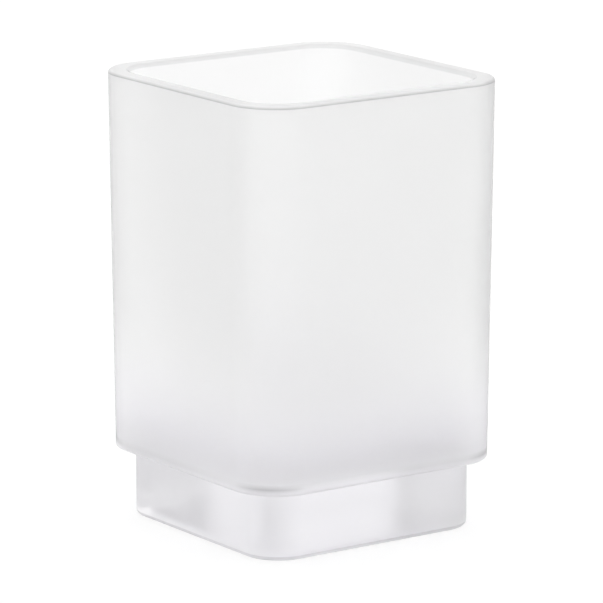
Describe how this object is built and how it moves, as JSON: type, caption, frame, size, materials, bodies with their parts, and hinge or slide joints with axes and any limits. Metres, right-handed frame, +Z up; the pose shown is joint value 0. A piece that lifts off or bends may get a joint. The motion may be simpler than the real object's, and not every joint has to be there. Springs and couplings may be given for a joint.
{
  "type": "bathroom tumbler",
  "caption": "Satin glass tumbler of square section with round corners, standing on a narrower solid glass plinth that can also sit in a holder's ring.",
  "frame": {"origin": "middle of the standing face on the plinth's underside", "axes": "+Z up along the tumbler's axis to the open rim, X and Y square to the flat sides"},
  "size_m": [0.07, 0.07, 0.105],
  "materials": {
    "satin_glass": "acid-etched satin inside and out, fire-polished rim",
    "plinth_glass": "satin sides, ground top and well, polished standing ring",
    "clear_adhesive": "clear cured adhesive"
  },
  "bodies": {
    "root": {"cup": "satin_glass", "plinth": "plinth_glass", "bond_film": "clear_adhesive"}
  },
  "joints": []
}
